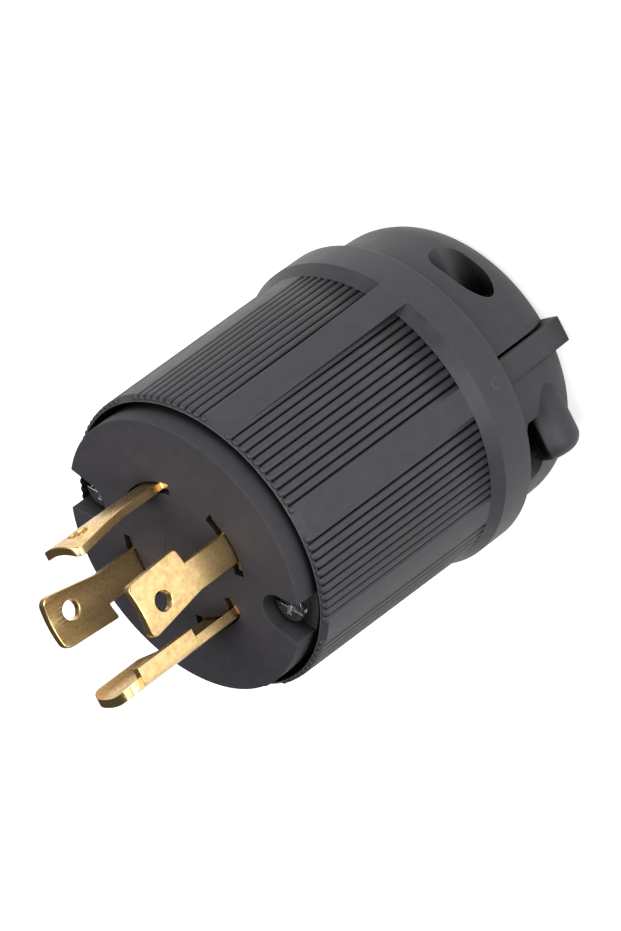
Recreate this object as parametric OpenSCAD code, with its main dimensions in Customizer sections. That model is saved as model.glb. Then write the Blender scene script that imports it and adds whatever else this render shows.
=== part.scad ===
// Four-blade locking power plug, standing on its cord end with the blades up.
// +Z runs along the plug's axis towards the blades. +X points at the first line blade.

/* [Body] */
// Height from the cord end to the blade face
face_z = 70.3; // [68:0.1:74]
// Radius of the flange round the body
flange_r = 28.15; // [27.8:0.05:29.5]
// Length of the flange's plain band
flange_len = 6.7; // [5:0.1:8]
// Radius of the grip where it meets the flange
grip_rear_r = 27.0; // [26.8:0.05:27.4]
// Radius of the grip at its front edge
grip_front_r = 26.6; // [26.4:0.05:26.8]
// Height of the sloping shoulder between flange and grip
shoulder_len = 2.4; // [1.5:0.1:3.5]
// How far the housing's rim stays behind the blade face
rim_setback = 3.7; // [3:0.1:5]
// Radius of the wiring space inside the grip
cavity_r = 22.6; // [22:0.1:23]

/* [Grip ribs] */
// Number of plain panels round the grip
panel_count = 8; // [6:2:10]
// Angle across one plain panel
panel_angle = 11.6; // [9:0.2:14]
// Number of grooves between two panels
grooves_per_group = 10; // [8:1:11]
// Radius at the bottom of the grooves
groove_floor_r = 25.95; // [25.8:0.05:26.1]
// Angle between the flush panels and +X
flush_panel_angle = 45; // [45:90:135]

/* [Cord end] */
// Radius of the cord end where it meets the flange
dome_r = 25.9; // [25.5:0.1:26.2]
// Height of the cord end behind the flange
dome_len = 17.4; // [16:0.1:19]
// Radius of the rounded shoulder at the very end
dome_round = 8; // [6:0.5:9]
// Wall thickness of the cord end
dome_wall = 3.4; // [2.8:0.1:4]
// Radius of the cord hole
cord_hole_r = 9.4; // [8:0.1:10.5]
// Gap between the two halves of the cord end
parting_gap = 0.5; // [0.3:0.05:0.8]
// Width of the tab beside the gap
tab_w = 4.5; // [3:0.1:6]
// Distance of each clamp screw from the plug's axis
clamp_screw_x = 20.2; // [19.5:0.1:20.6]
// Height of the clamp screws
clamp_screw_z = 9.4; // [9:0.1:10]
// Radius of the round boss over each clamp nut
boss_r = 4.5; // [4.2:0.1:4.8]

/* [Blade carrier] */
// Radius of the blade face
carrier_r = 24.65; // [24:0.05:25]
// Thickness of the blade carrier
carrier_len = 14.4; // [13:0.1:16]
// Angle of the first screw notch from +X
notch_angle = -37.5; // [-42:0.5:-33]
// Distance of the face screws from the plug's axis
face_screw_r = 20.4; // [20:0.1:20.6]
// Depth of the screw notches below the face
notch_depth = 4.6; // [4:0.1:6]

/* [Blades] */
// Radius of the circle through the middle of the blades
blade_circle_r = 12.4; // [12:0.05:12.8]
// Thickness of the blades
blade_t = 1.5; // [1.2:0.05:1.7]
// Length of the line and neutral blades beyond the face
blade_len = 20.4; // [19:0.1:22]
// Length of the grounding blade beyond the face
ground_len = 25; // [23:0.1:26]
// Height of the locking step on the line blades
step_h = 8.9; // [8:0.1:10]
// Radius of the hole near each blade's tip
blade_hole_r = 1.65; // [1.3:0.05:1.9]

/* [Screws] */
// Radius of the face screws' and clamp screws' thread
screw_r = 1.7; // [1.5:0.05:1.75]
// Radius of the screw heads
head_r = 2.8; // [2.6:0.05:2.9]
// Height of the screw heads
head_h = 2.1; // [1.8:0.1:2.4]

/* [Hidden] */
$fn = 96;

eps = 0.01;
fit = 0.2;                        // clearance between mouldings that slide together
thread_fit = 0.05;                // clearance round a thread
rim_z = face_z - rim_setback;
rim_chamfer = [0.8, 1.3];
rim_edge_r = grip_front_r - rim_chamfer[0];
flange_top_z = dome_len + flange_len;
grip_z0 = flange_top_z + shoulder_len;
grip_z1 = rim_z - rim_chamfer[1];
flange_edge = 0.7;
dome_end_r = dome_r - 0.4 - dome_round;
dome_in_r = dome_r - dome_wall - 0.6;
bore_r = carrier_r + fit;
lead_in_len = 3.6;
seat_z = face_z - carrier_len;
post_top_z = seat_z - 0.3;
tab_end_z = 1.5;
parting_y = tab_w / 2;
saddle_wall = 3.2;
saddle_len = 12;
end_wall = 3.2;
screw_post_r = 4.1;
screw_post_z0 = 30;
insert_r = 2.7;
insert_len = 11;
notch_r = 3.4;
notch_mouth = 4.2;
nut_w = 6;
nut_t = 2.6;
nut_y = -11.2;
clamp_seat_y = 8.4;
recess_r = 3;
recess_shift = 2.3;
recess_wall = 1.7;
nut_scoop_r = 2.4;
slot_clear = 0.25;
slot_end_angle = 2.2;
shank_z0 = 38;
shank_dy = [-4.6, 5.2];
neck_dy = [-2.8, 2.45];
head_dy = [-4.75, 4.95];
ground_edge_y = 5.55;
ground_leg = [9.2, 21.5];
ground_leg_in = 8.7;
terminal_z = 44;
plate_x = 15.0;
plate_t = 1.4;
barrier_z0 = 34;
barrier_hub_r = 11.2;
barrier_wall = 2.4;
barrier_cap = 3.4;
blade_angles = [0, 90, 180, 270];

black_nylon = [0.13, 0.13, 0.14];
brass = [0.78, 0.62, 0.30];
steel = [0.75, 0.76, 0.78];

// A ring sector between two radii, from one angle to another.
module sector(r_in, r_out, a0, a1) {
    reach = r_out * 2;
    intersection() {
        difference() {
            circle(r_out);
            circle(r_in);
        }
        polygon([[0, 0],
            [reach * cos(a0), reach * sin(a0)],
            [reach * cos((a0 + a1) / 2), reach * sin((a0 + a1) / 2)],
            [reach * cos(a1), reach * sin(a1)]]);
    }
}

// Points of an arc from one angle to another, in equal steps.
function arc(cx, cy, r, a0, a1, n) =
    [for (i = [0:n]) let (a = a0 + (a1 - a0) * i / n) [cx + r * cos(a), cy + r * sin(a)]];

// The outline of the cord end, from the axis out to its wall.
module dome_outline() {
    polygon([[0, 0], [dome_end_r, 0], [dome_end_r + eps, dome_round],
        [dome_end_r + dome_round, dome_round], [dome_r, dome_len + eps], [0, dome_len + eps]]);
    translate([dome_end_r, dome_round]) circle(dome_round);
}

module body_outline() {
    difference() {
        dome_outline();
        translate([-dome_round * 4, -dome_round]) square([dome_round * 4, dome_round * 5]);
    }
    polygon(concat([[0, dome_len]],
        arc(flange_r - flange_edge, dome_len + flange_edge, flange_edge, -90, 0, 4),
        [[flange_r, flange_top_z], [grip_rear_r, grip_z0], [grip_front_r, grip_z1],
        [rim_edge_r, rim_z], [0, rim_z]]));
}

// One groove's section, pointing at +X: its walls curve so that the ribs are rounded.
module groove_outline(pitch) {
    depth = grip_rear_r - groove_floor_r;
    half = grip_rear_r * tan(pitch / 2) * 0.93;
    x = groove_floor_r;
    polygon([[x, 0], [x + depth * 0.18, half * 0.2], [x + depth * 0.6, half * 0.52],
        [x + depth * 0.9, half * 0.86], [x + depth * 1.1, half * 1.1], [x + depth * 1.1, -half * 1.1],
        [x + depth * 0.9, -half * 0.86], [x + depth * 0.6, -half * 0.52], [x + depth * 0.18, -half * 0.2]]);
}

module grooves() {
    group = 360 / panel_count;
    pitch = (group - panel_angle) / grooves_per_group;
    translate([0, 0, grip_z0]) linear_extrude(rim_z)
        for (g = [0:panel_count - 1])
            for (i = [0:grooves_per_group - 1])
                rotate(g * group + panel_angle / 2 + pitch * (i + 0.5)) groove_outline(pitch);
}

// A panel that rises to the flange, so that the two run flush.
module flush_panel(angle) {
    rotate(angle - panel_angle / 2) rotate_extrude(angle = panel_angle)
        polygon([[cavity_r + 1, dome_len + 2], [flange_r - eps, dome_len + 2], [flange_r - eps, flange_top_z],
            [grip_front_r, grip_z1], [cavity_r + 1, grip_z1]]);
}

// The inside of the housing: the wiring space, the carrier's bore and its lead-in.
module housing_space() {
    rotate_extrude() polygon([[0, end_wall], [dome_in_r - 6, end_wall], [dome_in_r, end_wall + 5],
        [dome_in_r, dome_len - 1], [cavity_r, dome_len + 1], [cavity_r, seat_z], [bore_r, seat_z],
        [bore_r, rim_z - lead_in_len], [rim_edge_r, rim_z + eps], [0, rim_z + eps]]);
}

// The whole cord end as one solid, before it is hollowed and parted.
module dome_solid() {
    rotate_extrude() difference() {
        dome_outline();
        translate([-dome_round * 4, -dome_round]) square([dome_round * 4, dome_round * 5]);
    }
}

module clamp_side(gap) {
    translate([-flange_r, parting_y + gap, -1]) cube([flange_r * 2, flange_r, dome_len + 1 - fit / 2 + gap / 5]);
}

// A half collar round the cord, which the two halves of the cord end squeeze.
module saddle() {
    difference() {
        cylinder(r = cord_hole_r + saddle_wall, h = saddle_len);
        translate([0, 0, -1]) cylinder(r = cord_hole_r, h = saddle_len + 2);
    }
}

module along_y(x, z, y0, y1) {
    translate([x, y1, z]) rotate([90, 0, 0]) linear_extrude(y1 - y0) children();
}

// The oval outline of a clamp screw's recess, or of the wall round it.
module recess_outline(side, r) {
    circle(r);
    translate([-side * recess_shift, 0]) circle(r);
    translate([-side * recess_shift / 2, 0]) square([recess_shift, r * 2], center = true);
}

module clamp_boss(x) {
    along_y(x, clamp_screw_z, -16, parting_y) circle(boss_r);
    along_y(x, clamp_screw_z, -17.6, -16 + eps) circle(boss_r - 1.2);
}

module tab(side) {
    translate([side * (dome_r - 2.6), 0, (tab_end_z + dome_len) / 2])
        cube([5.2 + 0.4, tab_w, dome_len - tab_end_z + 1], center = true);
}

module screw_post(angle) {
    rotate(angle) translate([face_screw_r, 0, screw_post_z0]) {
        cylinder(r = screw_post_r, h = post_top_z - screw_post_z0);
        translate([0, -2, 0]) cube([4, 4, post_top_z - screw_post_z0 - 1]);
    }
}

module screw_post_hole(angle) {
    rotate(angle) translate([face_screw_r, 0, 0]) {
        translate([0, 0, seat_z - insert_len]) cylinder(r = insert_r, h = insert_len + 1);
        translate([0, 0, screw_post_z0 + 4]) cylinder(r = screw_r + fit, h = 40);
    }
}

module housing() {
    color(black_nylon) difference() {
        union() {
            difference() {
                union() {
                    rotate_extrude() body_outline();
                    for (side = [-1, 1]) {
                        tab(side);
                        clamp_boss(side * clamp_screw_x);
                    }
                }
                grooves();
                housing_space();
            }
            for (side = [0, 180]) {
                difference() {
                    flush_panel(flush_panel_angle + side);
                    housing_space();
                }
                screw_post(notch_angle + side);
            }
            intersection() {
                union() {
                    saddle();
                    for (side = [-1, 1])
                        along_y(side * clamp_screw_x, clamp_screw_z, -16, parting_y) circle(boss_r);
                }
                dome_solid();
            }
        }
        translate([0, 0, -1]) cylinder(r = cord_hole_r, h = dome_len);
        clamp_side(0);
        for (side = [0, 180]) screw_post_hole(notch_angle + side);
        for (side = [-1, 1]) {
            along_y(side * clamp_screw_x, clamp_screw_z, -14.5, parting_y + 1) circle(screw_r + fit);
            translate([side * clamp_screw_x - nut_w / 2 - fit / 2, nut_y - nut_t / 2 - fit / 2,
                clamp_screw_z - nut_w / 2 - fit / 2]) cube([nut_w + fit, nut_t + fit, nut_w + 2.5]);
            along_y(side * (clamp_screw_x + 1.8), clamp_screw_z + boss_r - 0.4, -24, nut_y + nut_t / 2)
                circle(nut_scoop_r);
        }
    }
}

module cord_clamp() {
    color(black_nylon) difference() {
        intersection() {
            union() {
                difference() {
                    dome_solid();
                    housing_space();
                }
                intersection() {
                    union() {
                        saddle();
                        for (side = [-1, 1])
                            along_y(side * clamp_screw_x, clamp_screw_z, 0, dome_r)
                                recess_outline(side, recess_r + recess_wall);
                    }
                    dome_solid();
                }
            }
            clamp_side(parting_gap);
        }
        translate([0, 0, -1]) cylinder(r = cord_hole_r, h = dome_len);
        translate([0, 0, dome_len - fit]) cylinder(r = dome_r + 1, h = 2);
        for (side = [-1, 1]) {
            along_y(side * clamp_screw_x, clamp_screw_z, 0, 12) circle(screw_r + fit);
            along_y(side * clamp_screw_x, clamp_screw_z, clamp_seat_y, dome_r + 1) recess_outline(side, recess_r);
        }
    }
}

module notch_outline() {
    translate([face_screw_r, 0]) circle(notch_r);
    polygon([[face_screw_r, -notch_r], [carrier_r + 1, -notch_mouth],
        [carrier_r + 1, notch_mouth], [face_screw_r, notch_r]]);
}

// The section of the grounding blade's leg, bent towards the centre along the blade's edge.
module ground_leg_outline(grow) {
    leg_x = blade_circle_r - 1.4;
    translate([ground_leg_in - grow, ground_edge_y - blade_t / 2 - grow])
        square([leg_x - ground_leg_in + grow, blade_t + grow * 2]);
    translate([leg_x, ground_edge_y - blade_t * 0.1]) circle(blade_t * 0.6 + grow);
}

// The four curved slots. The grounding slot has a short leg towards the centre.
module blade_slots() {
    r_in = blade_circle_r - blade_t / 2 - slot_clear;
    r_out = blade_circle_r + blade_t / 2 + slot_clear;
    a0 = asin(shank_dy[0] / blade_circle_r) - slot_end_angle;
    a1 = asin(shank_dy[1] / blade_circle_r) + slot_end_angle;
    for (a = blade_angles) rotate(a) sector(r_in, r_out, a0, a1);
    rotate(blade_angles[3]) {
        sector(r_in, r_out, 0, asin(ground_edge_y / blade_circle_r) + slot_end_angle);
        ground_leg_outline(slot_clear);
    }
}

module blade_carrier() {
    color(black_nylon) difference() {
        translate([0, 0, seat_z]) cylinder(r = carrier_r, h = carrier_len);
        translate([0, 0, seat_z - 1]) linear_extrude(carrier_len + 2) blade_slots();
        for (side = [0, 180]) rotate(notch_angle + side) {
            translate([0, 0, face_z - notch_depth]) linear_extrude(notch_depth + 1) notch_outline();
            translate([face_screw_r, 0, seat_z - 1]) cylinder(r = screw_r + fit, h = carrier_len);
        }
    }
}

// The inner insulator: a cap under the carrier and four walls that part the terminals.
module terminal_barrier() {
    height = seat_z - fit / 2 - barrier_z0;
    color(black_nylon) difference() {
        union() {
            translate([0, 0, barrier_z0]) cylinder(r = barrier_hub_r - fit, h = height - 1);
            translate([0, 0, seat_z - fit / 2 - barrier_cap]) cylinder(r = cavity_r - fit, h = barrier_cap);
            for (a = [45, 135, 225, 315])
                rotate(a) translate([0, -barrier_wall / 2, barrier_z0])
                    cube([cavity_r - fit * 2, barrier_wall, height - 1]);
        }
        translate([0, 0, barrier_z0 - 1]) cylinder(r = barrier_hub_r - 3, h = height - barrier_cap + 1);
        translate([0, 0, barrier_z0]) linear_extrude(height + 1) blade_slots();
        for (side = [0, 180]) rotate(notch_angle + side)
            translate([face_screw_r, 0, barrier_z0 - 1]) cylinder(r = screw_post_r + fit, h = height + 2);
        for (side = [0, 180]) rotate(notch_angle + side)
            translate([face_screw_r, -screw_post_r, barrier_z0 - 1]) cube([6, screw_post_r * 2, height + 2]);
    }
}

// A blade's flat outline across (y) and along (z) the blade, from its shank to its tip.
module line_outline() {
    r = 1.3;
    polygon(concat(
        [[shank_dy[0], shank_z0], [shank_dy[1], shank_z0], [shank_dy[1], face_z - 0.8], [neck_dy[1], face_z - 0.8],
        [neck_dy[1], face_z + step_h]],
        arc(head_dy[1] - 0.5, face_z + step_h + 0.5, 0.5, -90, 0, 4),
        arc(head_dy[1] - 0.5 - r, face_z + blade_len - r, r, 0, 90, 5),
        arc(head_dy[0] + r, face_z + blade_len - r, r, 90, 190, 6),
        [[neck_dy[0], face_z + step_h - 0.6], [neck_dy[0], face_z - 0.8], [shank_dy[0], face_z - 0.8]]));
}

module ground_outline() {
    r = 2.6;
    polygon(concat(
        [[shank_dy[0], shank_z0], [ground_edge_y, shank_z0]],
        arc(ground_edge_y - r, face_z + ground_len - r, r, 0, 90, 6),
        arc(head_dy[0] + r, face_z + ground_len - r, r, 90, 180, 6),
        [[head_dy[0], face_z + ground_leg[1] - 8], [neck_dy[0], face_z + step_h - 0.6],
        [neck_dy[0], face_z - 0.8], [shank_dy[0], face_z - 0.8]]));
}

module blade_wall() {
    translate([0, 0, shank_z0 - 1]) linear_extrude(face_z + ground_len - shank_z0 + 2)
        sector(blade_circle_r - blade_t / 2, blade_circle_r + blade_t / 2, -40, 40);
}

module outline_along_x() {
    rotate([90, 0, 90]) linear_extrude(blade_circle_r * 2) children();
}

module blade_holes(tip_hole_z) {
    rotate([0, 90, 0]) {
        translate([-tip_hole_z, -0.5, 0]) cylinder(r = blade_hole_r, h = blade_circle_r * 2);
        translate([-terminal_z, 0, 0]) cylinder(r = screw_r + thread_fit, h = blade_circle_r * 2);
    }
}

module line_blade(angle) {
    color(brass) rotate(angle) difference() {
        intersection() {
            blade_wall();
            outline_along_x() line_outline();
        }
        blade_holes(face_z + blade_len - 4.6);
    }
}

module ground_bend(z0, z1) {
    translate([0, 0, z0]) linear_extrude(z1 - z0) ground_leg_outline(0);
}

module ground_blade() {
    color(brass) rotate(blade_angles[3]) difference() {
        union() {
            intersection() {
                blade_wall();
                outline_along_x() ground_outline();
            }
            ground_bend(face_z + ground_leg[0], face_z + ground_leg[1]);
            ground_bend(seat_z, face_z - 0.8);
        }
        rotate([0, 90, 0]) translate([-terminal_z, 0, 0])
            cylinder(r = screw_r + thread_fit, h = blade_circle_r * 2);
    }
}

module terminal_plate(angle) {
    color(steel) rotate(angle) difference() {
        translate([plate_x, -4, terminal_z - 4]) cube([plate_t, 8, 8]);
        translate([plate_x - 1, 0, terminal_z]) rotate([0, 90, 0]) cylinder(r = screw_r + fit, h = plate_t + 2);
    }
}

module slotted_screw(r_head, h_head, r_thread, length) {
    difference() {
        union() {
            cylinder(r = r_head, h = h_head);
            translate([0, 0, -length]) cylinder(r = r_thread, h = length + eps);
        }
        translate([-r_head, -0.4, h_head - 1]) cube([r_head * 2, 0.8, 2]);
        translate([-0.4, -r_head * 0.6, h_head - 1]) cube([0.8, r_head * 1.2, 2]);
    }
}

module terminal_screw(angle) {
    color(steel) rotate(angle) translate([plate_x + plate_t, 0, terminal_z]) rotate([0, 90, 0])
        slotted_screw(head_r, head_h, screw_r, plate_x + plate_t - barrier_hub_r);
}

module face_screw(angle) {
    color(steel) rotate(angle) translate([face_screw_r, 0, face_z - notch_depth])
        slotted_screw(head_r, head_h, screw_r, face_z - notch_depth - seat_z + insert_len - 1);
}

module housing_insert(angle) {
    color(brass) rotate(angle) translate([face_screw_r, 0, seat_z - insert_len]) difference() {
        cylinder(r = insert_r - thread_fit, h = insert_len - fit * 2);
        translate([0, 0, -1]) cylinder(r = screw_r + thread_fit, h = insert_len + 2);
    }
}

module clamp_screw(side) {
    color(steel) translate([side * clamp_screw_x, clamp_seat_y, clamp_screw_z]) rotate([-90, 0, 0])
        slotted_screw(head_r, head_h, screw_r, clamp_seat_y - nut_y + nut_t / 2 + 1);
}

module clamp_nut(side) {
    color(steel) difference() {
        translate([side * clamp_screw_x, nut_y, clamp_screw_z]) cube([nut_w, nut_t, nut_w], center = true);
        along_y(side * clamp_screw_x, clamp_screw_z, nut_y - nut_t, nut_y + nut_t) circle(screw_r + thread_fit);
    }
}

housing();
cord_clamp();
blade_carrier();
terminal_barrier();
line_blade(blade_angles[0]);  // line_blade_x
line_blade(blade_angles[1]);  // neutral_blade
line_blade(blade_angles[2]);  // line_blade_y
ground_blade();
terminal_plate(blade_angles[0]);  // terminal_plate_x
terminal_plate(blade_angles[1]);  // terminal_plate_neutral
terminal_plate(blade_angles[2]);  // terminal_plate_y
terminal_plate(blade_angles[3]);  // terminal_plate_ground
terminal_screw(blade_angles[0]);  // terminal_screw_x
terminal_screw(blade_angles[1]);  // terminal_screw_neutral
terminal_screw(blade_angles[2]);  // terminal_screw_y
terminal_screw(blade_angles[3]);  // terminal_screw_ground
face_screw(notch_angle);  // face_screw_a
face_screw(notch_angle + 180);  // face_screw_b
housing_insert(notch_angle);  // housing_insert_a
housing_insert(notch_angle + 180);  // housing_insert_b
clamp_screw(1);  // clamp_screw_a
clamp_screw(-1);  // clamp_screw_b
clamp_nut(1);  // clamp_nut_a
clamp_nut(-1);  // clamp_nut_b
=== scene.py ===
"""Looks, light and camera for the locking power plug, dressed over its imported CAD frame."""

import math

import bmesh
import bpy
from mathutils import Matrix, Vector


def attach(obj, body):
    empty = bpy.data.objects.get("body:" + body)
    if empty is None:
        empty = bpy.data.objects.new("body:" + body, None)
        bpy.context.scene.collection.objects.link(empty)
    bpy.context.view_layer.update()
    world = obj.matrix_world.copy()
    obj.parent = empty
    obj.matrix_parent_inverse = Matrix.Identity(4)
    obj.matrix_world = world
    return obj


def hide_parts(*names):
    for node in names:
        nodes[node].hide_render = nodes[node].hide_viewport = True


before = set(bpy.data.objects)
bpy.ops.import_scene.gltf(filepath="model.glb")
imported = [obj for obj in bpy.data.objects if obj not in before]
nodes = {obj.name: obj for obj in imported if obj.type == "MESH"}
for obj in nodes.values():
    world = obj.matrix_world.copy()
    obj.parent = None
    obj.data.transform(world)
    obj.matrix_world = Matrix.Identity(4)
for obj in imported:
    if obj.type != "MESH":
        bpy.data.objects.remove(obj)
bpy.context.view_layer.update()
scene = bpy.context.scene
MM = 0.001

# The camera looks down on the blade face from the side, a little rolled.
AIM = Vector((0.06, -0.46, 40.1)) * MM
DISTANCE = 809.2 * MM
AZIMUTH = math.radians(15.2)
ELEVATION = math.radians(34.74)
ROLL = math.radians(126.28)
LENS = 193.34

# Each soft light's name, azimuth and elevation in degrees, distance and size in metres, and watts.
LIGHTS = [
    ("key", 100, 45, 0.35, 0.3, 0.75),
    ("front", 15, 60, 0.6, 0.5, 3.5),
    ("side", -12, 4, 0.5, 0.35, 1.6),
]
# The room's brightness on the plug, the floor's in the plug's reflections, and the floor's to the camera.
WORLD_LEVEL = 0.06
FLOOR_SHEEN = 0.34
FLOOR_LIFT = 0.75


# ---------------------------------------------------------------- node helpers

def add_node(tree, kind, **values):
    """A node of that kind, with its properties set by name and its inputs by socket name or number."""
    node = tree.nodes.new(kind)
    inputs = values.pop("inputs", {})
    for name, value in values.items():
        setattr(node, name, value)
    for name, value in inputs.items():
        node.inputs[name].default_value = value
    return node


def group_with(name, inputs, outputs):
    """An empty shader node group. Inputs are (name, socket type, value) and outputs (name, socket type)."""
    group = bpy.data.node_groups.new(name, "ShaderNodeTree")
    for title, kind, value in inputs:
        socket = group.interface.new_socket(title, in_out="INPUT", socket_type=kind)
        socket.default_value = value
    for title, kind in outputs:
        group.interface.new_socket(title, in_out="OUTPUT", socket_type=kind)
    entry = group.nodes.new("NodeGroupInput")
    result = group.nodes.new("NodeGroupOutput")
    return group, entry, result


def place_group(tree, group, **values):
    """A node that holds the group, with inputs set by name. An underscore stands for a space."""
    node = tree.nodes.new("ShaderNodeGroup")
    node.node_tree = group
    for name, value in values.items():
        node.inputs[name.replace("_", " ")].default_value = value
    return node


def calc(tree, operation, *terms):
    """The result of one math node. Each term is a number or another node's output."""
    node = tree.nodes.new("ShaderNodeMath")
    node.operation = operation
    for i, term in enumerate(terms):
        if isinstance(term, (int, float)):
            node.inputs[i].default_value = term
        else:
            tree.links.new(term, node.inputs[i])
    return node.outputs[0]


# ---------------------------------------------------------------- shared effects

def edge_wear_and_highlight_group():
    """A mask that is 1 along rounded edges, broken up by noise, and the normal of the rounded edge. The mask
    marks edge colour that is partly wear and partly painted highlight.
    """
    group, entry, result = group_with(
        "Edge wear",
        [("Radius", "NodeSocketFloat", 0.2 * MM), ("Break up", "NodeSocketFloat", 0.5)],
        [("Edge", "NodeSocketFloat"), ("Normal", "NodeSocketVector")])
    links = group.links
    bevel = add_node(group, "ShaderNodeBevel", samples=6)
    links.new(entry.outputs["Radius"], bevel.inputs["Radius"])
    geometry = group.nodes.new("ShaderNodeNewGeometry")
    dot = add_node(group, "ShaderNodeVectorMath", operation="DOT_PRODUCT")
    links.new(bevel.outputs["Normal"], dot.inputs[0])
    links.new(geometry.outputs["Normal"], dot.inputs[1])
    slope = add_node(group, "ShaderNodeMapRange", inputs={"From Min": 0.995, "From Max": 0.86})
    links.new(dot.outputs["Value"], slope.inputs["Value"])
    place = group.nodes.new("ShaderNodeTexCoord")
    patches = add_node(group, "ShaderNodeTexNoise", inputs={"Scale": 700.0, "Detail": 4.0})
    links.new(place.outputs["Object"], patches.inputs["Vector"])
    spread = add_node(group, "ShaderNodeMapRange", inputs={"From Min": 0.35, "From Max": 0.65})
    links.new(patches.outputs["Fac"], spread.inputs["Value"])
    keep = add_node(group, "ShaderNodeMix", inputs={"A": 1.0})
    links.new(entry.outputs["Break up"], keep.inputs["Factor"])
    links.new(spread.outputs["Result"], keep.inputs["B"])
    links.new(calc(group, "MULTIPLY", slope.outputs["Result"], keep.outputs["Result"]), result.inputs["Edge"])
    links.new(bevel.outputs["Normal"], result.inputs["Normal"])
    return group


def mould_grain_group():
    """Fine mould grain as a height, a slow mottling of the surface, and lone pale specks."""
    group, entry, result = group_with(
        "Mould grain",
        [("Grain size", "NodeSocketFloat", 0.18 * MM), ("Mottle size", "NodeSocketFloat", 2.5 * MM)],
        [("Height", "NodeSocketFloat"), ("Mottle", "NodeSocketFloat"), ("Speck", "NodeSocketFloat")])
    links = group.links
    place = group.nodes.new("ShaderNodeTexCoord")
    grain = add_node(group, "ShaderNodeTexNoise", inputs={"Detail": 3.0, "Roughness": 0.6})
    links.new(place.outputs["Object"], grain.inputs["Vector"])
    links.new(calc(group, "DIVIDE", 1.0, entry.outputs["Grain size"]), grain.inputs["Scale"])
    mottle = add_node(group, "ShaderNodeTexNoise", inputs={"Detail": 5.0, "Roughness": 0.65})
    links.new(place.outputs["Object"], mottle.inputs["Vector"])
    links.new(calc(group, "DIVIDE", 1.0, entry.outputs["Mottle size"]), mottle.inputs["Scale"])
    specks = add_node(group, "ShaderNodeTexVoronoi", inputs={"Scale": 900.0, "Randomness": 1.0})
    links.new(place.outputs["Object"], specks.inputs["Vector"])
    lone = add_node(group, "ShaderNodeMapRange", inputs={"From Min": 0.14, "From Max": 0.08})
    links.new(specks.outputs["Distance"], lone.inputs["Value"])
    links.new(grain.outputs["Fac"], result.inputs["Height"])
    links.new(mottle.outputs["Fac"], result.inputs["Mottle"])
    links.new(lone.outputs["Result"], result.inputs["Speck"])
    return group


def brushed_group():
    """Drawn lines along a blade, as a height, and the stains that handling leaves."""
    group, entry, result = group_with(
        "Drawn metal",
        [("Line width", "NodeSocketFloat", 0.07 * MM), ("Line length", "NodeSocketFloat", 3.0 * MM)],
        [("Height", "NodeSocketFloat"), ("Stain", "NodeSocketFloat")])
    links = group.links
    place = group.nodes.new("ShaderNodeTexCoord")
    across = calc(group, "DIVIDE", 1.0, entry.outputs["Line width"])
    along = calc(group, "DIVIDE", 1.0, entry.outputs["Line length"])
    stretch = group.nodes.new("ShaderNodeCombineXYZ")
    for axis, value in zip("XYZ", (across, across, along)):
        links.new(value, stretch.inputs[axis])
    drawn = add_node(group, "ShaderNodeVectorMath", operation="MULTIPLY")
    links.new(place.outputs["Object"], drawn.inputs[0])
    links.new(stretch.outputs["Vector"], drawn.inputs[1])
    lines = add_node(group, "ShaderNodeTexNoise", inputs={"Scale": 1.0, "Detail": 3.0, "Roughness": 0.6})
    links.new(drawn.outputs["Vector"], lines.inputs["Vector"])
    stain = add_node(group, "ShaderNodeTexNoise", inputs={"Scale": 800.0, "Detail": 8.0, "Roughness": 0.75})
    links.new(place.outputs["Object"], stain.inputs["Vector"])
    links.new(lines.outputs["Fac"], result.inputs["Height"])
    links.new(stain.outputs["Fac"], result.inputs["Stain"])
    return group


def painted_crevice_shade_group():
    """A mask of painted shade that falls towards 0 in grooves, recesses and gaps, to darken the colour there.
    """
    group, entry, result = group_with(
        "Crevice shade",
        [("Reach", "NodeSocketFloat", 4 * MM), ("Darkest", "NodeSocketFloat", 0.12)],
        [("Shade", "NodeSocketFloat")])
    links = group.links
    nearby = add_node(group, "ShaderNodeAmbientOcclusion", samples=8)
    links.new(entry.outputs["Reach"], nearby.inputs["Distance"])
    shade = add_node(group, "ShaderNodeMapRange", inputs={"From Min": 0.35, "From Max": 0.9})
    links.new(nearby.outputs["AO"], shade.inputs["Value"])
    links.new(entry.outputs["Darkest"], shade.inputs["To Min"])
    links.new(shade.outputs["Result"], result.inputs["Shade"])
    return group


EDGE_WEAR_AND_HIGHLIGHT = edge_wear_and_highlight_group()
PAINTED_CREVICE_SHADE = painted_crevice_shade_group()
MOULD_GRAIN = mould_grain_group()
DRAWN_METAL = brushed_group()


# ---------------------------------------------------------------- materials

def new_material(name):
    """A material, its node tree and its surface shader."""
    material = bpy.data.materials.new(name)
    material.use_nodes = True
    tree = material.node_tree
    return material, tree, tree.nodes["Principled BSDF"]


def ramp(tree, low, high, dark, light):
    """A colour ramp node from dark at low to light at high."""
    node = tree.nodes.new("ShaderNodeValToRGB")
    node.color_ramp.elements[0].position = low
    node.color_ramp.elements[0].color = (*dark, 1)
    node.color_ramp.elements[1].position = high
    node.color_ramp.elements[1].color = (*light, 1)
    return node


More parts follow.
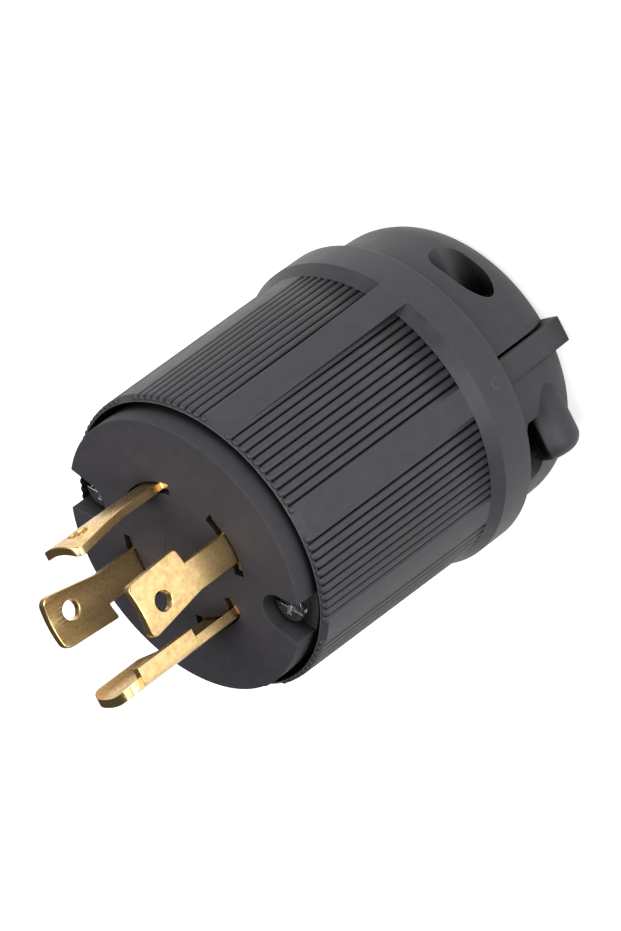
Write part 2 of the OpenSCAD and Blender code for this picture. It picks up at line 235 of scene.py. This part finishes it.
def moulded_nylon(name, dark, light, worn_and_highlit, rough, shine, edge_radius, painted_shade_reach):
    """Black nylon: mottled colour, fine grain, edges a little paler and smoother than the faces, the paleness
    partly wear and partly painted highlight, and painted shade in grooves, recesses and gaps.
    """
    material, tree, shader = new_material(name)
    links = tree.links
    grain = place_group(tree, MOULD_GRAIN)
    wear = place_group(tree, EDGE_WEAR_AND_HIGHLIGHT, Radius=edge_radius)
    body = ramp(tree, 0.3, 0.7, dark, light)
    links.new(grain.outputs["Mottle"], body.inputs["Fac"])
    dusted = add_node(tree, "ShaderNodeMix", data_type="RGBA", inputs={"B": (*worn_and_highlit, 1)})
    links.new(calc(tree, "MULTIPLY", grain.outputs["Speck"], SPECK_STRENGTH), dusted.inputs["Factor"])
    links.new(body.outputs["Color"], dusted.inputs["A"])
    # Paler edges: partly wear, partly a painted highlight.
    edged = add_node(tree, "ShaderNodeMix", data_type="RGBA", inputs={"B": (*worn_and_highlit, 1)})
    links.new(wear.outputs["Edge"], edged.inputs["Factor"])
    links.new(dusted.outputs["Result"], edged.inputs["A"])
    # Painted shade: the colour is darkened in grooves, recesses and gaps.
    painted_shade = place_group(tree, PAINTED_CREVICE_SHADE, Reach=painted_shade_reach)
    shaded = add_node(tree, "ShaderNodeMix", data_type="RGBA", blend_type="MULTIPLY",
                      inputs={"Factor": 1.0})
    links.new(edged.outputs["Result"], shaded.inputs["A"])
    links.new(painted_shade.outputs["Shade"], shaded.inputs["B"])
    links.new(shaded.outputs["Result"], shader.inputs["Base Color"])
    gloss = add_node(tree, "ShaderNodeMapRange",
                     inputs={"From Min": 0.3, "From Max": 0.7,
                             "To Min": rough - 0.05, "To Max": rough + 0.06})
    links.new(grain.outputs["Mottle"], gloss.inputs["Value"])
    links.new(gloss.outputs["Result"], shader.inputs["Roughness"])
    bump = add_node(tree, "ShaderNodeBump", inputs={"Strength": 0.6, "Distance": GRAIN_DEPTH})
    links.new(grain.outputs["Height"], bump.inputs["Height"])
    links.new(wear.outputs["Normal"], bump.inputs["Normal"])
    links.new(bump.outputs["Normal"], shader.inputs["Normal"])
    shader.inputs["Specular IOR Level"].default_value = shine
    return material


def drawn_metal(name, dark, light, edge, rough, line_depth, edge_radius):
    """Stamped metal: drawn lines, faint stains, and edges brighter in colour, partly polished by use and
    partly a painted highlight.
    """
    material, tree, shader = new_material(name)
    links = tree.links
    drawn = place_group(tree, DRAWN_METAL)
    wear = place_group(tree, EDGE_WEAR_AND_HIGHLIGHT, Radius=edge_radius, Break_up=0.25)
    body = ramp(tree, 0.32, 0.6, dark, light)
    links.new(drawn.outputs["Stain"], body.inputs["Fac"])
    # Brighter edges: partly polish from use, partly a painted highlight.
    edged = add_node(tree, "ShaderNodeMix", data_type="RGBA", inputs={"B": (*edge, 1)})
    links.new(wear.outputs["Edge"], edged.inputs["Factor"])
    links.new(body.outputs["Color"], edged.inputs["A"])
    links.new(edged.outputs["Result"], shader.inputs["Base Color"])
    gloss = add_node(tree, "ShaderNodeMapRange",
                     inputs={"From Min": 0.3, "From Max": 0.7,
                             "To Min": rough + 0.08, "To Max": rough - 0.05})
    links.new(drawn.outputs["Stain"], gloss.inputs["Value"])
    links.new(gloss.outputs["Result"], shader.inputs["Roughness"])
    bump = add_node(tree, "ShaderNodeBump", inputs={"Strength": 0.4, "Distance": line_depth})
    links.new(drawn.outputs["Height"], bump.inputs["Height"])
    links.new(wear.outputs["Normal"], bump.inputs["Normal"])
    links.new(bump.outputs["Normal"], shader.inputs["Normal"])
    shader.inputs["Metallic"].default_value = 1.0
    return material


SPECK_STRENGTH = 0.12
GRAIN_DEPTH = 0.05 * MM

# Each nylon's pale colour gives its specks and its paler edges, the edges partly wear and partly painted
# highlight; the last length is the reach of the painted crevice shade.
housing_nylon = moulded_nylon("housing_nylon", (0.034, 0.032, 0.037), (0.045, 0.042, 0.049),
                              (0.15, 0.147, 0.157), 0.42, 0.32, 0.16 * MM, 7 * MM)
face_nylon = moulded_nylon("face_nylon", (0.037, 0.035, 0.04), (0.046, 0.043, 0.05),
                           (0.12, 0.117, 0.126), 0.6, 0.2, 0.18 * MM, 5 * MM)
# Each metal's edge colour is partly polish and partly a painted highlight.
blade_brass = drawn_metal("blade_brass", (0.64, 0.41, 0.18), (0.94, 0.68, 0.32), (0.98, 0.82, 0.5),
                          0.28, 0.025 * MM, 0.12 * MM)
insert_brass = drawn_metal("insert_brass", (0.55, 0.38, 0.18), (0.75, 0.55, 0.28), (0.9, 0.72, 0.42),
                           0.35, 0.01 * MM, 0.1 * MM)
plated_steel = drawn_metal("plated_steel", (0.3, 0.3, 0.31), (0.62, 0.62, 0.63), (0.85, 0.85, 0.86),
                           0.2, 0.004 * MM, 0.1 * MM)


# ---------------------------------------------------------------- pieces

FINISH = {
    "housing": housing_nylon,
    "cord_clamp": housing_nylon,
    "blade_carrier": face_nylon,
    "terminal_barrier": face_nylon,
    "line_blade_x": blade_brass,
    "neutral_blade": blade_brass,
    "line_blade_y": blade_brass,
    "ground_blade": blade_brass,
    "housing_insert_a": insert_brass,
    "housing_insert_b": insert_brass,
}
# Smoothing angle in degrees and edge rounding in millimetres of each piece that shows.
SOFT_EDGED = {
    "housing": (22, 0.0),
    "cord_clamp": (30, 0.0),
    "blade_carrier": (30, 0.14),
    "line_blade_x": (30, 0.22),
    "neutral_blade": (30, 0.22),
    "line_blade_y": (30, 0.22),
    "ground_blade": (30, 0.0),
}


# Faces that turn less than FLAT are joined before rounding. Edges that turn more than the others are rounded.
FLAT = math.radians(0.8)
SHARP = 0.9
SHARP_ON_TAB = 1.2
# Where the two tabs beside the cord clamp stand out, half their width, their top and their rounding.
TAB_START = 26.0 * MM
TAB_HALF = 2.25 * MM
TAB_TOP = 17.6 * MM
TAB_ROUNDING = 0.55 * MM
SLACK = 0.05 * MM


def give(obj, material):
    """Makes the material the object's only one."""
    obj.data.materials.clear()
    obj.data.materials.append(material)


def soften(bm, rounding):
    """Rounds the sharp edges of a mesh whose flat areas are first joined into single faces."""
    bmesh.ops.dissolve_limit(bm, angle_limit=FLAT, verts=bm.verts, edges=bm.edges)
    sharp = [edge for edge in bm.edges if len(edge.link_faces) == 2 and edge.calc_face_angle(0) > SHARP]
    bmesh.ops.bevel(bm, geom=sharp, offset=rounding * MM, segments=3, profile=0.5, affect="EDGES",
                    clamp_overlap=False)


def apply_modifiers(piece):
    """Gives the piece the mesh that its modifiers make, and removes them."""
    mesh = bpy.data.meshes.new_from_object(piece.evaluated_get(bpy.context.evaluated_depsgraph_get()))
    piece.modifiers.clear()
    mesh.name = piece.name
    piece.data = mesh


def carve(piece, cutter):
    """Cuts the cutter's shape out of the piece."""
    cut = piece.modifiers.new("cut", "BOOLEAN")
    cut.operation = "DIFFERENCE"
    cut.solver = "EXACT"
    cut.object = cutter
    apply_modifiers(piece)


def round_tabs(bm):
    """Rounds the outer corners of the two tabs beside the cord clamp."""
    def outside(vert):
        return abs(vert.co.x) > TAB_START and abs(vert.co.y) < TAB_HALF + SLACK and vert.co.z < TAB_TOP
    near = [face for face in bm.faces if any(outside(vert) for vert in face.verts)]
    verts = list(dict.fromkeys(vert for face in near for vert in face.verts))
    edges = list(dict.fromkeys(edge for face in near for edge in face.edges))
    bmesh.ops.dissolve_limit(bm, angle_limit=FLAT, verts=verts, edges=edges)
    corners = [edge for edge in bm.edges
               if all(outside(vert) for vert in edge.verts) and edge.calc_face_angle(0) > SHARP_ON_TAB]
    bmesh.ops.bevel(bm, geom=corners, offset=TAB_ROUNDING, segments=3, profile=0.5, affect="EDGES",
                    clamp_overlap=False)


def smooth_copy(name, angle, rounding):
    """A merged copy of a CAD node with softened edges, shaded smooth except across sharp ones."""
    mesh = nodes[name].data.copy()
    bm = bmesh.new()
    bm.from_mesh(mesh)
    bmesh.ops.remove_doubles(bm, verts=bm.verts, dist=1e-6)
    if name == "housing":
        round_tabs(bm)
    if rounding:
        soften(bm, rounding)
    for face in bm.faces:
        face.smooth = True
    limit = math.radians(angle)
    for edge in bm.edges:
        edge.smooth = len(edge.link_faces) == 2 and edge.calc_face_angle(0) < limit
    bm.to_mesh(mesh)
    bm.free()
    mesh.name = name + "_moulded"
    piece = bpy.data.objects.new(name + "_moulded", mesh)
    scene.collection.objects.link(piece)
    if rounding:
        even = piece.modifiers.new("even", "WEIGHTED_NORMAL")
        even.keep_sharp = True
        apply_modifiers(piece)
    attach(piece, "root")
    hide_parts(name)
    return piece


def turned(name, profile, centre, axis, segments, material):
    """A shape of revolution. The profile is (height, radius) pairs along the axis from the centre."""
    bm = bmesh.new()
    turn = Vector((0, 0, 1)).rotation_difference(Vector(axis)).to_matrix()
    rings = []
    for height, radius in profile:
        ring = []
        for i in range(segments):
            a = 2 * math.pi * i / segments
            point = Vector((radius * math.cos(a), radius * math.sin(a), height)) * MM
            ring.append(bm.verts.new(Vector(centre) * MM + turn @ point))
        rings.append(ring)
    for low, high in zip(rings, rings[1:]):
        for i in range(segments):
            j = (i + 1) % segments
            bm.faces.new((low[i], low[j], high[j], high[i]))
    if profile[0] != profile[-1]:
        bm.faces.new(list(reversed(rings[0])))
        bm.faces.new(rings[-1])
    bmesh.ops.remove_doubles(bm, verts=bm.verts, dist=1e-7)
    bmesh.ops.recalc_face_normals(bm, faces=bm.faces)
    for face in bm.faces:
        face.smooth = True
    mesh = bpy.data.meshes.new(name)
    bm.to_mesh(mesh)
    bm.free()
    piece = bpy.data.objects.new(name, mesh)
    scene.collection.objects.link(piece)
    give(piece, material)
    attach(piece, "root")
    return piece


# The lump over each clamp nut and the pocket beside it, in millimetres.
BOSS_LENGTH = 14.2
BOSS_RADIUS = 4.65
BOSS_ROUNDING = 2.6
BOSS_PLACE = (20.2, -4, 9.2)
POCKET_STRETCH = (3.2, 11.0, 2.0, 1.0)
POCKET_PLACE = (19.4, -10.2, 13.2)
# The mould's rings on the flange and on the blade face: radius, half width, height and place.
FLANGE_RING = (0.95, 0.11, 0.05, (28.12, 0, 20.4))
FACE_RING = (4.0, 0.13, 0.11, (0, 0, 70.28))


def rounded_end(length, radius, rounding, steps):
    """The profile of a round bar from height 0 up to a rounded end."""
    profile = [(0.0, radius), (length - rounding, radius)]
    for i in range(1, steps + 1):
        a = math.pi / 2 * i / steps
        profile.append((length - rounding + rounding * math.sin(a), radius - rounding * (1 - math.cos(a))))
    return profile


RIB_SIZES = [
    ("Groups", "NodeSocketInt", 8),
    ("Ribs in a group", "NodeSocketInt", 11),
    ("Panel angle", "NodeSocketFloat", math.radians(11.6)),
    ("Rib width", "NodeSocketFloat", 1.42 * MM),
    ("Rib depth", "NodeSocketFloat", 0.55 * MM),
    ("Rear radius", "NodeSocketFloat", 27.015 * MM),
    ("Front radius", "NodeSocketFloat", 26.61 * MM),
    ("Rear height", "NodeSocketFloat", 26.0 * MM),
    ("Front height", "NodeSocketFloat", 66.4 * MM),
    ("Squareness", "NodeSocketFloat", 0.78),
    ("End rounding", "NodeSocketFloat", 0.012),
]


def rib_tree():
    """Rounded ribs in groups round the grip, with a plain panel between two groups."""
    tree = bpy.data.node_groups.new("Grip ribs", "GeometryNodeTree")
    tree.interface.new_socket("Geometry", in_out="INPUT", socket_type="NodeSocketGeometry")
    for title, kind, value in RIB_SIZES:
        tree.interface.new_socket(title, in_out="INPUT", socket_type=kind).default_value = value
    tree.interface.new_socket("Material", in_out="INPUT", socket_type="NodeSocketMaterial")
    tree.interface.new_socket("Geometry", in_out="OUTPUT", socket_type="NodeSocketGeometry")
    links = tree.links
    size = tree.nodes.new("NodeGroupInput").outputs
    result = tree.nodes.new("NodeGroupOutput")

    # One rib: a grid rolled into a rounded bar that closes at its front end.
    sheet = add_node(tree, "GeometryNodeMeshGrid",
                     inputs={"Size X": 1.0, "Size Y": 1.0, "Vertices X": 17, "Vertices Y": 10})
    place = tree.nodes.new("ShaderNodeSeparateXYZ")
    links.new(tree.nodes.new("GeometryNodeInputPosition").outputs[0], place.inputs[0])
    turn = calc(tree, "MULTIPLY", calc(tree, "ADD", place.outputs["X"], 0.5), 2 * math.pi)
    from_front = calc(tree, "POWER", calc(tree, "SUBTRACT", 0.5, place.outputs["Y"]), 2.5)
    along = calc(tree, "SUBTRACT", 1.0, from_front)
    nose = calc(tree, "SUBTRACT", 1.0,
                calc(tree, "MINIMUM", calc(tree, "DIVIDE", from_front, size["End rounding"]), 1.0))
    full = calc(tree, "SQRT", calc(tree, "SUBTRACT", 1.0, calc(tree, "MULTIPLY", nose, nose)))
    sides = []
    for wave in ("SINE", "COSINE"):
        value = calc(tree, wave, turn)
        bulge = calc(tree, "POWER", calc(tree, "ABSOLUTE", value), size["Squareness"])
        sides.append(calc(tree, "MULTIPLY", calc(tree, "MULTIPLY", bulge, calc(tree, "SIGN", value)), full))
    span = calc(tree, "SUBTRACT", size["Front radius"], size["Rear radius"])
    surface = calc(tree, "MULTIPLY_ADD", span, along, size["Rear radius"])
    centre = calc(tree, "SUBTRACT", surface, size["Rib depth"])
    outwards = calc(tree, "MULTIPLY_ADD", size["Rib depth"], sides[0], centre)
    across = calc(tree, "MULTIPLY", calc(tree, "MULTIPLY", size["Rib width"], 0.5), sides[1])
    reach = calc(tree, "SUBTRACT", size["Front height"], size["Rear height"])
    height = calc(tree, "MULTIPLY_ADD", reach, along, size["Rear height"])
    point = tree.nodes.new("ShaderNodeCombineXYZ")
    for axis, value in zip("XYZ", (outwards, across, height)):
        links.new(value, point.inputs[axis])
    roll = tree.nodes.new("GeometryNodeSetPosition")
    links.new(sheet.outputs["Mesh"], roll.inputs["Geometry"])
    links.new(point.outputs[0], roll.inputs["Position"])

    # The ribs' angles, group by group.
    seats = add_node(tree, "GeometryNodeMeshLine", inputs={"Offset": (0, 0, 0)})
    links.new(calc(tree, "MULTIPLY", size["Groups"], size["Ribs in a group"]), seats.inputs["Count"])
    index = tree.nodes.new("GeometryNodeInputIndex").outputs[0]
    group = calc(tree, "FLOOR", calc(tree, "DIVIDE", index, size["Ribs in a group"]))
    member = calc(tree, "MODULO", index, size["Ribs in a group"])
    group_angle = calc(tree, "DIVIDE", 2 * math.pi, size["Groups"])
    ribbed = calc(tree, "SUBTRACT", group_angle, size["Panel angle"])
    pitch = calc(tree, "DIVIDE", ribbed, calc(tree, "SUBTRACT", size["Ribs in a group"], 1))
    first = calc(tree, "MULTIPLY_ADD", size["Panel angle"], 0.5, calc(tree, "MULTIPLY", group, group_angle))
    angle = calc(tree, "MULTIPLY_ADD", member, pitch, first)
    facing = add_node(tree, "FunctionNodeAxisAngleToRotation", inputs={"Axis": (0, 0, 1)})
    links.new(angle, facing.inputs["Angle"])
    spread = tree.nodes.new("GeometryNodeInstanceOnPoints")
    links.new(seats.outputs["Mesh"], spread.inputs["Points"])
    links.new(roll.outputs["Geometry"], spread.inputs["Instance"])
    links.new(facing.outputs[0], spread.inputs["Rotation"])
    real = tree.nodes.new("GeometryNodeRealizeInstances")
    links.new(spread.outputs["Instances"], real.inputs["Geometry"])
    smooth = tree.nodes.new("GeometryNodeSetShadeSmooth")
    links.new(real.outputs["Geometry"], smooth.inputs["Geometry"])
    finish = tree.nodes.new("GeometryNodeSetMaterial")
    links.new(smooth.outputs["Geometry"], finish.inputs["Geometry"])
    links.new(size["Material"], finish.inputs["Material"])
    links.new(finish.outputs["Geometry"], result.inputs["Geometry"])
    return tree


def grip_ribs():
    """The grip's ribs as one mesh, closed at the seam and at both ends of each rib."""
    ribs = bpy.data.objects.new("grip_ribs", bpy.data.meshes.new("grip_ribs"))
    scene.collection.objects.link(ribs)
    tree = rib_tree()
    modifier = ribs.modifiers.new("ribs", "NODES")
    modifier.node_group = tree
    values = {title: value for title, kind, value in RIB_SIZES}
    values["Material"] = housing_nylon
    for item in tree.interface.items_tree:
        if item.item_type == "SOCKET" and item.in_out == "INPUT" and item.name in values:
            modifier[item.identifier] = values[item.name]
    mesh = bpy.data.meshes.new_from_object(ribs.evaluated_get(bpy.context.evaluated_depsgraph_get()))
    ribs.modifiers.clear()
    bm = bmesh.new()
    bm.from_mesh(mesh)
    bmesh.ops.remove_doubles(bm, verts=bm.verts, dist=1e-7)
    bmesh.ops.holes_fill(bm, edges=[edge for edge in bm.edges if edge.is_boundary], sides=0)
    bmesh.ops.recalc_face_normals(bm, faces=bm.faces)
    bm.to_mesh(mesh)
    bm.free()
    ribs.data = mesh
    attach(ribs, "root")


def nut_bosses():
    """The round lumps over the two clamp nuts, with softly rounded ends and the nut's pocket beside them."""
    housing = bpy.data.objects["housing_moulded"]
    for name, side in (("nut_boss_a", 1), ("nut_boss_b", -1)):
        x, y, z = BOSS_PLACE
        boss = turned(name, rounded_end(BOSS_LENGTH, BOSS_RADIUS, BOSS_ROUNDING, 8), (side * x, y, z),
                      (0, -1, 0), 40, housing_nylon)
        pocket = turned("pocket", [(0.0, 1.0), (1.0, 1.0)], (0, 0, 0), (0, -1, 0), 32, housing_nylon)
        x, y, z = POCKET_PLACE
        pocket.data.transform(Matrix.Diagonal(POCKET_STRETCH))
        pocket.data.transform(Matrix.Translation(Vector((side * x, y, z)) * MM))
        carve(boss, pocket)
        carve(housing, pocket)
        bpy.data.objects.remove(pocket)


def mould_ring(name, size, axis, segments, material):
    """A low round ring that the mould leaves on a surface."""
    radius, half_width, height, place = size
    section = []
    for i in range(9):
        a = math.pi * i / 4
        section.append((height * math.sin(a), radius + half_width * math.cos(a)))
    ring = turned(name, section, place, axis, segments, material)


for name, node in nodes.items():
    material = FINISH.get(name, plated_steel)
    if name in SOFT_EDGED:
        give(smooth_copy(name, *SOFT_EDGED[name]), material)
    give(node, material)


grip_ribs()
nut_bosses()
mould_ring("flange_ring", FLANGE_RING, (1, 0, 0), 32, housing_nylon)
mould_ring("face_gate_mark", FACE_RING, (0, 0, 1), 64, face_nylon)


# ---------------------------------------------------------------- floor, light and camera

def to_camera(tree, path):
    """1 for what the camera sees, straight or through something clear, and otherwise 0."""
    return calc(tree, "MAXIMUM", path.outputs["Is Camera Ray"], path.outputs["Is Transmission Ray"])


def white_floor():
    """A pale floor that reads white to the camera and to metal, and still takes the plug's shadow."""
    bpy.ops.mesh.primitive_plane_add(size=6)
    floor = bpy.context.object
    floor.name = "floor"
    material, tree, shader = new_material("pale_floor")
    links = tree.links
    shader.inputs["Base Color"].default_value = (0.8, 0.8, 0.8, 1)
    shader.inputs["Roughness"].default_value = 0.9
    shader.inputs["Specular IOR Level"].default_value = 0.1
    path = tree.nodes.new("ShaderNodeLightPath")
    sheen = calc(tree, "MULTIPLY", path.outputs["Is Glossy Ray"], FLOOR_SHEEN)
    lift = calc(tree, "MULTIPLY_ADD", to_camera(tree, path), FLOOR_LIFT, sheen)
    shader.inputs["Emission Color"].default_value = (1, 1, 1, 1)
    links.new(lift, shader.inputs["Emission Strength"])
    give(floor, material)


def studio_world():
    """A room that is white to the camera and dim to the plug."""
    world = bpy.data.worlds.new("studio")
    scene.world = world
    world.use_nodes = True
    tree = world.node_tree
    links = tree.links
    background = tree.nodes["Background"]
    background.inputs["Color"].default_value = (1, 1, 1, 1)
    path = tree.nodes.new("ShaderNodeLightPath")
    level = add_node(tree, "ShaderNodeMapRange", inputs={"To Min": WORLD_LEVEL, "To Max": 1.0})
    links.new(to_camera(tree, path), level.inputs["Value"])
    links.new(level.outputs["Result"], background.inputs["Strength"])


def soft_box(name, azimuth, elevation, distance, size, watts):
    """A square soft light, aimed at the middle of the plug."""
    light = bpy.data.lights.new(name, "AREA")
    light.shape = "SQUARE"
    light.size = size
    light.energy = watts
    lamp = bpy.data.objects.new(name, light)
    scene.collection.objects.link(lamp)
    az = math.radians(azimuth)
    el = math.radians(elevation)
    out = Vector((math.cos(el) * math.cos(az), math.cos(el) * math.sin(az), math.sin(el)))
    lamp.location = AIM + out * distance
    lamp.rotation_euler = (-out).to_track_quat("-Z", "Y").to_euler()


def camera():
    """A long lens that looks at AIM, rolled about its own axis."""
    lens = bpy.data.cameras.new("camera")
    lens.lens = LENS
    lens.sensor_width = 36
    eye = bpy.data.objects.new("camera", lens)
    scene.collection.objects.link(eye)
    out = Vector((math.cos(ELEVATION) * math.cos(AZIMUTH), math.cos(ELEVATION) * math.sin(AZIMUTH),
                  math.sin(ELEVATION)))
    level = (-out).to_track_quat("-Z", "Y").to_matrix().to_4x4()
    eye.matrix_world = Matrix.Translation(AIM + out * DISTANCE) @ level @ Matrix.Rotation(-ROLL, 4, "Z")
    scene.camera = eye


white_floor()
studio_world()
for light in LIGHTS:
    soft_box(*light)
camera()
scene.view_settings.view_transform = "Standard"
